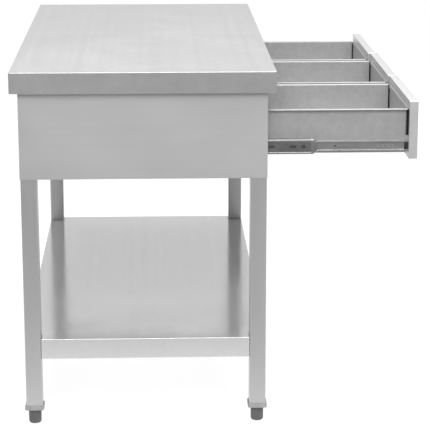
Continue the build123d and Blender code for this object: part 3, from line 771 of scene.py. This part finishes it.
class WORKTABLE_OT_legs(bpy.types.Operator):
    """Make the square tube legs, their plastic collars and the adjustable feet"""

    bl_idname = "worktable.legs"
    bl_label = "Legs and feet"

    def execute(self, context):
        """Build the legs, collars and feet."""
        sheet = sizes().sheet
        # painted shade: the legs get a darker copy of the stainless (tone 0.86) for how the light falls on
        # them
        steel = brushed_steel("tube_grain", "z", 0.86, 0.12, 0.75)
        for corner in CORNERS:
            low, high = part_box(f"leg_{corner}")
            centre = (low + high) / 2
            size = high.x - low.x
            bm = bmesh.new()
            rings = []
            for inset, z in (
                (0.3 * MM, low.z), (0, low.z + 0.3 * MM), (0, high.z), (sheet, high.z), (sheet, low.z),
            ):
                outline = round_rectangle(size - 2 * inset, size - 2 * inset, 3.2 * MM - inset, 6)
                rings.append(level(outline, centre, z))
            loft(bm, rings, close=True)
            name = f"leg_{corner}"
            piece(f"{name}_tube", bm, steel, "root", "brushed_tube", name)
            self.foot(corner, centre)
        self.collars()
        return {"FINISHED"}

    def foot(self, corner, centre):
        """One adjustable foot: a moulded cup with a grip groove, and its steel stem."""
        name = f"foot_{corner}"
        low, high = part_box(name)
        radius = (high.x - low.x) / 2
        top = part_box("leg_collars")[0].z
        base = low.z
        tall = top - base
        profile = [
            (0.72, 0.0), (0.80, 0.25 * MM), (0.88, 1.3 * MM), (0.935, 3.2 * MM), (0.95, 5.5 * MM),
            (0.965, tall * 0.55), (0.975, tall - 7.0 * MM), (0.945, tall - 6.4 * MM),
            (0.945, tall - 5.6 * MM), (0.985, tall - 5.0 * MM), (1.0, tall - 3.6 * MM),
            (1.0, tall - 1.4 * MM), (0.965, tall - 0.4 * MM), (0.92, tall - 0.1 * MM),
        ]
        bm = bmesh.new()
        loft(bm, [level(circle(radius * share, 48), centre, base + z) for share, z in profile])
        plastic = moulded("foot_moulding", finish().foot, 0.42, 0.55, 900)
        piece(f"{name}_cup", bm, plastic, name, "foot_plastic", name)
        bm = bmesh.new()
        threads = []
        steps = 2 * THREAD_TURNS + 1
        for k in range(steps):
            r = STEM_RADIUS if k % 2 else STEM_RADIUS - THREAD_DEPTH
            threads.append((r, top - 0.3 * MM + (high.z - top) * k / steps))
        threads.append((STEM_RADIUS * 0.8, high.z))
        loft(bm, [level(circle(r, 24), centre, z) for r, z in threads])
        metal = plated_steel("stem_steel", 0.85, 0.30, 0.42)
        piece(f"{name}_stem", to_mesh(f"{name}_stem", bm, 20), metal, name, "screw_steel")

    def collars(self):
        """The four moulded collars that close the legs' lower ends."""
        low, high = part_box("leg_collars")
        leg_low, leg_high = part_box("leg_front_left")
        wide = COLLAR_SIZE / 2
        tube = (leg_high.x - leg_low.x) / 2
        plug = tube - sizes().sheet - 0.1 * MM
        rim = low.z + COLLAR_RIM
        seat = leg_low.z - 0.1 * MM
        # half width, height and corner radius in millimetres, where 0 is a round bore
        plan = [
            (COLLAR_BORE + 0.4 * MM, low.z, 0), (wide - 1.2 * MM, low.z, 4.0),
            (wide - 0.3 * MM, low.z + 0.4 * MM, 4.6), (wide, low.z + 1.3 * MM, 4.8),
            (wide, rim - 1.6 * MM, 4.8), (wide - 0.5 * MM, rim - 0.5 * MM, 4.4),
            (wide - 1.4 * MM, rim, 4.0), (tube + 0.1 * MM, rim, 3.3), (tube + 0.1 * MM, seat, 3.3),
            (plug, seat, 2.2), (plug, high.z - 1 * MM, 2.2), (plug - 1 * MM, high.z, 2.0),
            (COLLAR_BORE, high.z, 0), (COLLAR_BORE, low.z + 0.4 * MM, 0),
        ]
        bm = bmesh.new()
        for corner in CORNERS:
            centre = middle_of(f"leg_{corner}")
            rings = []
            for half, z, radius in plan:
                outline = round_rectangle(2 * half, 2 * half, radius * MM or half, 6)
                rings.append(level(outline, centre, z))
            loft(bm, rings, close=True)
        plastic = moulded("collar_moulding", finish().collar, 0.40, 0.52, 900)
        piece("leg_end_collars", bm, plastic, "root", "collar_plastic", "leg_collars")


class WORKTABLE_OT_housing(bpy.types.Operator):
    """Fold the panels and rails of the drawer housing"""

    bl_idname = "worktable.housing"
    bl_label = "Drawer housing"

    def execute(self, context):
        """Build the side and back panels, the rails, the partitions and the slide carriers."""
        sheet = sizes().sheet
        half = sheet / 2
        # painted light: the housing panels get a lighter copy of the stainless (tone 1.02) than the worktop,
        # for how the light falls on these upright faces
        panel_end = brushed_steel("end_panel_grain", "y", 1.02, 0.14, 0.7)
        panel_long = brushed_steel("long_panel_grain", "x", 1.02, 0.14, 0.7)
        hidden = galvanised_steel("galvanised_sheet")
        for name, end in SIDES.items():
            node = f"housing_side_{name}"
            low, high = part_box(node)
            outer = high.x if end > 0 else low.x
            inner = low.x if end > 0 else high.x
            bm = bmesh.new()
            plan = [(inner, low.y + half), (outer - end * half, low.y + half), (outer - end * half, high.y)]
            folded(bm, plan, along_z, low.z, high.z)
            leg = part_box("leg_front_left")[1].y + 0.5 * MM
            hem_end = outer - end * 16 * MM
            for z in (low.z + half, high.z - half):
                folded(bm, [(outer - end * sheet, z), (hem_end, z)], along_y, leg, -leg)
            piece(f"{node}_sheet", bm, panel_end, "root", "brushed_panel", node)

        low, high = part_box("housing_back")
        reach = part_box("leg_front_right")[0].x
        bm = bmesh.new()
        folded(bm, [(high.y - half, low.z), (high.y - half, high.z)], along_x, low.x, high.x)
        folded(bm, [(low.y, low.z + half), (high.y - sheet, low.z + half)], along_x, -reach, reach)
        piece("housing_back_sheet", bm, panel_long, "root", "brushed_panel", "housing_back")

        for node in ("bottom_rail", "top_rail"):
            low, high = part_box(node)
            bm = bmesh.new()
            section = [
                (high.y, high.z - half), (low.y + half, high.z - half),
                (low.y + half, low.z + half), (high.y, low.z + half),
            ]
            folded(bm, section, along_x, low.x, high.x)
            piece(f"{node}_channel", bm, panel_long, "root", "brushed_panel", node)

        for name, end in SIDES.items():
            node = f"partition_{name}"
            low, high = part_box(node)
            bm = bmesh.new()
            plan = [
                (low.x + half, high.y), (low.x + half, low.y + half),
                (high.x - half, low.y + half), (high.x - half, high.y),
            ]
            folded(bm, plan, along_z, low.z, high.z)
            piece(f"{node}_sheet", bm, hidden, "root", "galvanised", node)

            node = f"slide_carrier_{name}"
            low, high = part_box(node)
            face = low.x if end > 0 else high.x
            leg_side = high.x if end > 0 else low.x
            bm = bmesh.new()
            section = [
                (leg_side, high.z - half), (face + end * half, high.z - half),
                (face + end * half, low.z + half), (leg_side, low.z + half),
            ]
            folded(bm, section, along_y, low.y, high.y)
            piece(f"{node}_channel", bm, hidden, "root", "galvanised", node)
        return {"FINISHED"}


class WORKTABLE_OT_drawers(bpy.types.Operator):
    """Fold the drawer boxes and their fronts"""

    bl_idname = "worktable.drawers"
    bl_label = "Drawers"

    def execute(self, context):
        """Build each drawer's box and front."""
        for drawer in DRAWERS:
            self.box(drawer)
            self.front(drawer)
        return {"FINISHED"}

    def box(self, drawer):
        """The box: a folded trough with flanges, two hemmed end walls and corner clips, darkened as painted
        shade for the dark corner slits.
        """
        sheet = sizes().drawer_sheet
        half = sheet / 2
        node = f"{drawer}_box"
        low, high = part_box(node)
        left = low.x + FLANGE
        right = high.x - FLANGE
        bm = bmesh.new()
        top = high.z - half
        under = top - sheet - 0.05 * MM
        section = [
            (low.x + FLANGE_FOLD, under), (low.x + half, under), (low.x + half, top), (left + half, top),
            (left + half, low.z + half), (right - half, low.z + half), (right - half, top),
            (high.x - half, top), (high.x - half, under), (high.x - FLANGE_FOLD, under),
        ]
        folded(bm, section, along_y, low.y + SIDE_SETBACK, high.y - sheet, sheet, 1.2 * MM)
        bottom = [(left + sheet, low.z + half), (right - sheet, low.z + half)]
        folded(bm, bottom, along_y, low.y + sheet, low.y + 5 * MM, sheet)
        clear = sheet + SHEET_GAP
        for wall, inward in ((low.y, 1), (high.y, -1)):
            near = wall + inward * half
            far = wall + inward * (half + HEM_GAP)
            section = [(near, low.z), (near, top), (far, top), (far, high.z - BOX_HEM)]
            folded(bm, section, along_x, left + clear, right - clear, sheet, 0.75 * MM)
        steel = drawer_steel("drawer_sheet")
        piece(f"{node}_sheet", bm, steel, drawer, "brushed_drawer", node)

        clip_top = high.z - CLIP_DROP
        bm = bmesh.new()
        for face, side in ((left, -1), (right, 1)):
            out = face + side * CLIP_OUT
            plan = [(face + side * SHEET_GAP, low.y + half), (out, low.y + half), (out, low.y + CLIP_BACK)]
            folded(bm, plan, along_z, clip_top - CLIP_TALL, clip_top, sheet, 0.8 * MM)
        # painted shade: the clips behind the corner slits are made near black (tone 0.06) so the slits read
        # as dark lines
        dark = plated_steel("clip_painted_shade", 0.06, 0.45, 0.60)
        piece(f"{node}_clips", bm, dark, drawer, "brushed_drawer")

    def front(self, drawer):
        """The front: a shallow folded pan with wide lips at the back."""
        made = sizes()
        node = f"{drawer}_front"
        low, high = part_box(node)
        centre = (low + high) / 2
        width = high.x - low.x
        height = high.z - low.z
        bm = bmesh.new()

        def outline(inset):
            return round_rectangle(width - 2 * inset, height - 2 * inset, max(1.8 * MM - inset, 0.3 * MM))

        def place(u, v, depth):
            return Vector((centre.x + u, low.y + depth, centre.z + v))

        pan(bm, outline, place, high.y - low.y, made.sheet, made.edge_bend, made.front_lip)
        # painted light: the drawer fronts get a lighter copy of the stainless (tone 1.06) for how the light
        # falls on them
        steel = brushed_steel("front_grain", "x", 1.06, 0.12, 0.65)
        piece(f"{node}_pan", bm, steel, drawer, "brushed_front", node)


class WORKTABLE_OT_slides(bpy.types.Operator):
    """Make the ball-bearing slides: outer, middle and inner members, cages, balls and bumpers"""

    bl_idname = "worktable.slides"
    bl_label = "Drawer slides"

    def execute(self, context):
        """Build all six slides."""
        for drawer in DRAWERS:
            for name, side in SIDES.items():
                self.outer(drawer, name, side)
                self.middle(drawer, name, side)
                self.inner(drawer, name, side)
            self.cages(drawer, "outer")
            self.cages(drawer, "inner")
            self.bumpers(drawer)
        return {"FINISHED"}

    def wall(self, drawer, name, side):
        """Where the slide's cabinet wall is, and its height."""
        low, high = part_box(f"{drawer}_slide_outer_{name}")
        return (high.x if side > 0 else low.x), (low.z + high.z) / 2

    def member(self, drawer, name, side, half_section, low_y, high_y):
        """A rolled member from the upper half of its section."""
        wall, mid_z = self.wall(drawer, name, side)
        section = list(half_section) + [(u, -z) for u, z in reversed(half_section)]
        points = [(wall - side * u * MM, mid_z + z * MM) for u, z in section]
        bm = bmesh.new()
        folded(bm, points, along_y, low_y, high_y, sizes().sheet, 1.0 * MM)
        return to_mesh("member", bm)

    def outer(self, drawer, name, side):
        """The cabinet member, with its lips curled over the balls."""
        node = f"{drawer}_slide_outer_{name}"
        low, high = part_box(node)
        mesh = self.member(drawer, name, side, OUTER_SECTION, low.y, high.y)
        wall, mid_z = self.wall(drawer, name, side)
        spots = [(wall, low.y + back * MM, mid_z) for back in RIVETS]
        mesh = cut(mesh, hole_cutters(spots, 1.7 * MM, 6 * MM, (1, 0, 0)))
        # painted shade: the outer member gets a darker copy of the zinc plating (tone 0.54) for its dark
        # reflections
        plate = plated_steel("zinc_plate", 0.54, 0.26, 0.38)
        piece(f"{node}_rail", mesh, plate, "root", "zinc_steel", node)

    def middle(self, drawer, name, side):
        """The middle member: bevelled shoulders, slots and holes, and a tapered nose."""
        node = f"{drawer}_slide_middle_{name}"
        low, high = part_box(node)
        mesh = self.member(drawer, name, side, MIDDLE_SECTION, low.y + NOSE_LENGTH, high.y)
        wall, mid_z = self.wall(drawer, name, side)
        web = wall - side * MIDDLE_SECTION[-1][0] * MM
        planes = (web + side * 3 * MM, web - side * 1.4 * MM)
        mesh = cut(mesh, punchings(planes, low.y, mid_z, MIDDLE_PUNCHINGS, 8))
        # painted shade: the middle member gets a darker copy of the zinc plating (tone 0.54) for its dark
        # reflections
        plate = plated_steel("zinc_plate", 0.54, 0.26, 0.38)
        body = f"{drawer}_middle"
        piece(f"{node}_rail", mesh, plate, body, "zinc_steel", node)
        self.nose(f"{node}_nose", body, wall, side, mid_z, low.y)

    def nose(self, name, body, wall, side, mid_z, front):
        """The tapered end of the middle member that guides the inner one."""
        bm = bmesh.new()
        rings = []
        for share, grow in ((0.0, 0.72), (0.12, 0.76), (0.55, 0.98), (0.72, 1.05), (1.0, 1.05), (1.0, 1.0)):
            section = [(u, z * grow) for u, z in NOSE_SECTION]
            section += [(u, -z) for u, z in reversed(section)]
            points = [(wall - side * u * MM, mid_z + z * MM) for u, z in section]
            outline = strip_outline(points, sizes().sheet, 1.0 * MM)
            rings.append([along_y(p.x, p.y, front + NOSE_LENGTH * share) for p in outline])
        loft(bm, rings)
        # painted light and shade: the nose gets a lighter copy of the zinc plating (tone 0.75) than the
        # middle member
        plate = plated_steel("zinc_plate_nose", 0.75, 0.28, 0.36)
        piece(name, bm, plate, body, "zinc_steel")

    def inner(self, drawer, name, side):
        """The drawer member, with its adjusting slots and screw holes."""
        node = f"{drawer}_slide_inner_{name}"
        low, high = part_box(node)
        mesh = self.member(drawer, name, side, INNER_SECTION, low.y, high.y)
        wall, mid_z = self.wall(drawer, name, side)
        web = wall - side * INNER_SECTION[-1][0] * MM
        planes = (web - 2 * MM, web + 2 * MM)
        mesh = cut(mesh, punchings(planes, low.y, mid_z, INNER_PUNCHINGS, 6))
        # painted light and shade: the inner member gets a lighter copy of the zinc plating (tone 0.86) than
        # the middle member
        plate = plated_steel("zinc_plate_inner", 0.86, 0.30, 0.40)
        piece(f"{node}_rail", mesh, plate, drawer, "zinc_steel", node)

    def cages(self, drawer, stage):
        """The ball cages of one stage with their balls."""
        node = f"{drawer}_{stage}_cages"
        low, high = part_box(node)
        front, back = low.y, high.y
        seat, height, depth, ball_seat, ball = {
            "outer": (1.45, 40.0, 6.5, 5.9, 1.8),
            "inner": (4.15, 27.8, 6.0, 7.4, 2.4),
        }[stage]
        strip = 0.5
        bm = bmesh.new()
        balls = bmesh.new()
        for name, side in SIDES.items():
            wall, mid_z = self.wall(drawer, name, side)
            top = height / 2 - strip / 2
            section = [
                (seat + depth, top), (seat + strip / 2, top), (seat + strip / 2, -top), (seat + depth, -top),
            ]
            points = [(wall - side * u * MM, mid_z + z * MM) for u, z in section]
            folded(bm, points, along_y, front, back, strip * MM, 0.6 * MM)
            count = 8
            pitch = 22 * MM
            first = (front + back) / 2 - (count - 1) * pitch / 2
            for row in (-1, 1):
                for k in range(count):
                    spot = Vector((wall - side * ball_seat * MM, first + k * pitch, mid_z + row * top * MM))
                    facets = sizes().ball_sides
                    bmesh.ops.create_uvsphere(
                        balls, u_segments=facets, v_segments=facets // 2, radius=ball * MM,
                        matrix=Matrix.Translation(spot),
                    )
        body = f"{drawer}_{stage}_balls"
        # painted shade: the cage strips are darkened (tone 0.30) so the slots in front of them read dark
        painted_shade_strip = plated_steel("cage_strip", 0.30, 0.30, 0.40)
        piece(f"{node}_strip", bm, painted_shade_strip, body, "cage_steel", node)
        polished = plated_steel("polished_balls", 1.2, 0.05, 0.10)
        piece(f"{node}_balls", to_mesh(f"{node}_balls", balls, 60), polished, body, "cage_steel")

    def bumpers(self, drawer):
        """The rubber bumpers at the front ends of the inner members."""
        node = f"{drawer}_bumpers"
        low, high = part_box(node)
        wide = 5 * MM
        bm = bmesh.new()
        for centre in (low.x + wide / 2, high.x - wide / 2):
            rings = []
            mid_z = (low.z + high.z) / 2
            tall = high.z - low.z
            for share, inset in BUMPER_PROFILE:
                outline = round_rectangle(wide - 2 * inset * MM, tall - 2 * inset * MM, 1.8 * MM, 5)
                y = low.y + (high.y - low.y) * share
                rings.append([Vector((centre + p.x, y, mid_z + p.y)) for p in outline])
            loft(bm, rings)
        rubber = moulded("bumper_moulding", (0.018, 0.018, 0.018), 0.55, 0.70, 1200)
        piece(f"{node}_rubber", bm, rubber, drawer, "bumper_rubber", node)


class WORKTABLE_OT_fasteners(bpy.types.Operator):
    """Set the screws of the drawers and the screws and rivets of the frame"""

    bl_idname = "worktable.fasteners"
    bl_label = "Fasteners"

    def execute(self, context):
        """Build every screw and rivet."""
        dark = plated_steel("dark_zinc", 0.12, 0.34, 0.46)
        head = screw_mesh(4.0 * MM, 1.8 * MM, True)
        for drawer in DRAWERS:
            box_low, box_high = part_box(f"{drawer}_box")
            centre = (box_low.x + box_high.x) / 2
            slide_z = middle_of(f"{drawer}_slide_inner_left").z
            slide_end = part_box(f"{drawer}_slide_inner_left")[1].y
            half = 161 * MM
            bm = bmesh.new()
            for side in (-1, 1):
                for z in (box_high.z - 15 * MM, box_low.z + 9 * MM):
                    seat = (centre + side * (half - 7 * MM), box_low.y + 1.0 * MM, z)
                    stamp(bm, head, seat, (0, 1, 0))
                    shank(bm, seat, (0, 1, 0), 2.0 * MM, 6 * MM)
                for along in SLIDE_SCREWS:
                    back = slide_end - (SLIDE_LENGTH - along) * MM
                    seat = (centre + side * (half + 1.2 * MM), back, slide_z)
                    stamp(bm, head, seat, (side, 0, 0))
                    shank(bm, seat, (side, 0, 0), 2.0 * MM, 6 * MM)
            node = f"{drawer}_screws"
            piece(f"{node}_heads", bm, dark, drawer, "screw_steel", node)
        self.frame_set(dark)
        return {"FINISHED"}

    def frame_set(self, dark):
        """The shelf screws and the rivets that hold the slides' outer members."""
        shelf_head = screw_mesh(5.5 * MM, 3.0 * MM, True)
        rivet = screw_mesh(2.6 * MM, 0.8 * MM, False)
        shelf_low, shelf_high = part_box("undershelf")
        bm = bmesh.new()
        for corner in CORNERS:
            leg_low, leg_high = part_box(f"leg_{corner}")
            centre = (leg_low + leg_high) / 2
            end = 1 if centre.x > 0 else -1
            inner = leg_low.x if end > 0 else leg_high.x
            seat = (inner - end * 1.6 * MM, centre.y, (shelf_low.z + shelf_high.z) / 2)
            stamp(bm, shelf_head, seat, (-end, 0, 0))
            shank(bm, seat, (-end, 0, 0), 3.0 * MM, 9 * MM)
        for drawer in DRAWERS:
            for name, side in SIDES.items():
                low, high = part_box(f"{drawer}_slide_outer_{name}")
                wall = high.x if side > 0 else low.x
                for along in RIVETS:
                    seat = (wall - side * 1.2 * MM, low.y + along * MM, (low.z + high.z) / 2)
                    stamp(bm, rivet, seat, (-side, 0, 0))
                    shank(bm, seat, (-side, 0, 0), 1.5 * MM, 4.4 * MM)
        piece("frame_screw_set", bm, dark, "root", "screw_steel", "frame_screws")


class WORKTABLE_OT_stage(bpy.types.Operator):
    """Lay the pale floor, hang the softbox and set up the camera"""

    bl_idname = "worktable.stage"
    bl_label = "Studio"

    def execute(self, context):
        """Build the floor, the world, the lights and the camera."""
        setup = studio()
        scene = context.scene
        base = Vector(CAD_BOX[0]).z
        bm = bmesh.new()
        bmesh.ops.create_grid(bm, x_segments=8, y_segments=8, size=setup.floor_size / 2)
        mesh = bpy.data.meshes.new("floor")
        bm.to_mesh(mesh)
        bm.free()
        floor = bpy.data.objects.new("floor", mesh)
        floor.location.z = base - 0.3 * MM
        scene.collection.objects.link(floor)
        mesh.materials.append(pale_floor("pale_floor"))

        world = bpy.data.worlds.new("even_white")
        scene.world = world
        world.use_nodes = True
        background = world.node_tree.nodes["Background"]
        background.inputs["Color"].default_value = (1, 1, 1, 1)
        tree = world.node_tree
        place = tree.nodes.new("ShaderNodeTexCoord")
        parts = tree.nodes.new("ShaderNodeSeparateXYZ")
        fade = tree.nodes.new("ShaderNodeMapRange")
        fade.interpolation_type = "SMOOTHSTEP"
        fade.inputs["From Min"].default_value = -0.5
        fade.inputs["From Max"].default_value = 0.75
        fade.inputs["To Min"].default_value = setup.room
        fade.inputs["To Max"].default_value = setup.backdrop
        tree.links.new(place.outputs["Generated"], parts.inputs["Vector"])
        tree.links.new(parts.outputs["X"], fade.inputs["Value"])
        tree.links.new(fade.outputs["Result"], background.inputs["Strength"])

        self.light("overhead", OVERHEAD_AT, (*OVERHEAD_AT[:2], 0), OVERHEAD_SIZE, setup.softbox)
        self.light("front", FRONT_AT, FRONT_AIM, FRONT_SIZE, setup.front_light)
        self.camera(scene, setup)
        scene.view_settings.view_transform = "Standard"
        return {"FINISHED"}

    def light(self, name, place, target, size, power):
        """A rectangular softbox that faces a point."""
        data = bpy.data.lights.new(name, "AREA")
        data.shape = "RECTANGLE"
        data.size, data.size_y = size
        data.energy = power
        lamp = bpy.data.objects.new(name, data)
        lamp.location = place
        lamp.rotation_euler = (Vector(target) - Vector(place)).to_track_quat("-Z", "Y").to_euler()
        bpy.context.scene.collection.objects.link(lamp)

    def camera(self, scene, setup):
        """A camera that looks along the table from its left end."""
        data = bpy.data.cameras.new("camera")
        data.lens = setup.camera_lens
        data.sensor_width = 36
        data.clip_end = 100
        eye = bpy.data.objects.new("camera", data)
        eye.location = (-setup.camera_back, -setup.camera_aside, setup.camera_height)
        tilt, turn = setup.camera_tilt, setup.camera_turn
        look = Vector((math.cos(tilt) * math.cos(turn), -math.cos(tilt) * math.sin(turn), -math.sin(tilt)))
        eye.rotation_euler = look.to_track_quat("-Z", "Y").to_euler()
        scene.collection.objects.link(eye)
        scene.camera = eye


class WORKTABLE_PT_panel(bpy.types.Panel):
    """Lists the table's pieces and settings"""

    bl_idname = "WORKTABLE_PT_panel"
    bl_label = "Work Table"
    bl_space_type = "VIEW_3D"
    bl_region_type = "UI"
    bl_category = "Work Table"

    def draw(self, context):
        """Draw the settings and one button for each operator."""
        layout = self.layout
        for group in (sizes(), finish(), studio()):
            box = layout.box()
            for key in group.__annotations__:
                box.prop(group, key)
        for operator in OPERATORS:
            layout.operator(operator.bl_idname)


OPERATORS = (
    WORKTABLE_OT_stage,
    WORKTABLE_OT_worktop,
    WORKTABLE_OT_undershelf,
    WORKTABLE_OT_legs,
    WORKTABLE_OT_housing,
    WORKTABLE_OT_drawers,
    WORKTABLE_OT_slides,
    WORKTABLE_OT_fasteners,
)
GROUPS = {
    "work_table_sizes": WorkTableSizes,
    "work_table_finish": WorkTableFinish,
    "work_table_studio": WorkTableStudio,
}


def register():
    """Register the settings, the operators and the panel."""
    for name, group in GROUPS.items():
        bpy.utils.register_class(group)
        setattr(bpy.types.Scene, name, PointerProperty(type=group))
    for operator in OPERATORS:
        bpy.utils.register_class(operator)
    bpy.utils.register_class(WORKTABLE_PT_panel)


def unregister():
    """Take everything out again."""
    bpy.utils.unregister_class(WORKTABLE_PT_panel)
    for operator in reversed(OPERATORS):
        bpy.utils.unregister_class(operator)
    for name, group in GROUPS.items():
        delattr(bpy.types.Scene, name)
        bpy.utils.unregister_class(group)


def main():
    """Build the whole table and its studio."""
    register()
    for operator in OPERATORS:
        group, name = operator.bl_idname.split(".")
        getattr(getattr(bpy.ops, group), name)()
    bpy.context.view_layer.update()


if __name__ == "__main__":
    main()
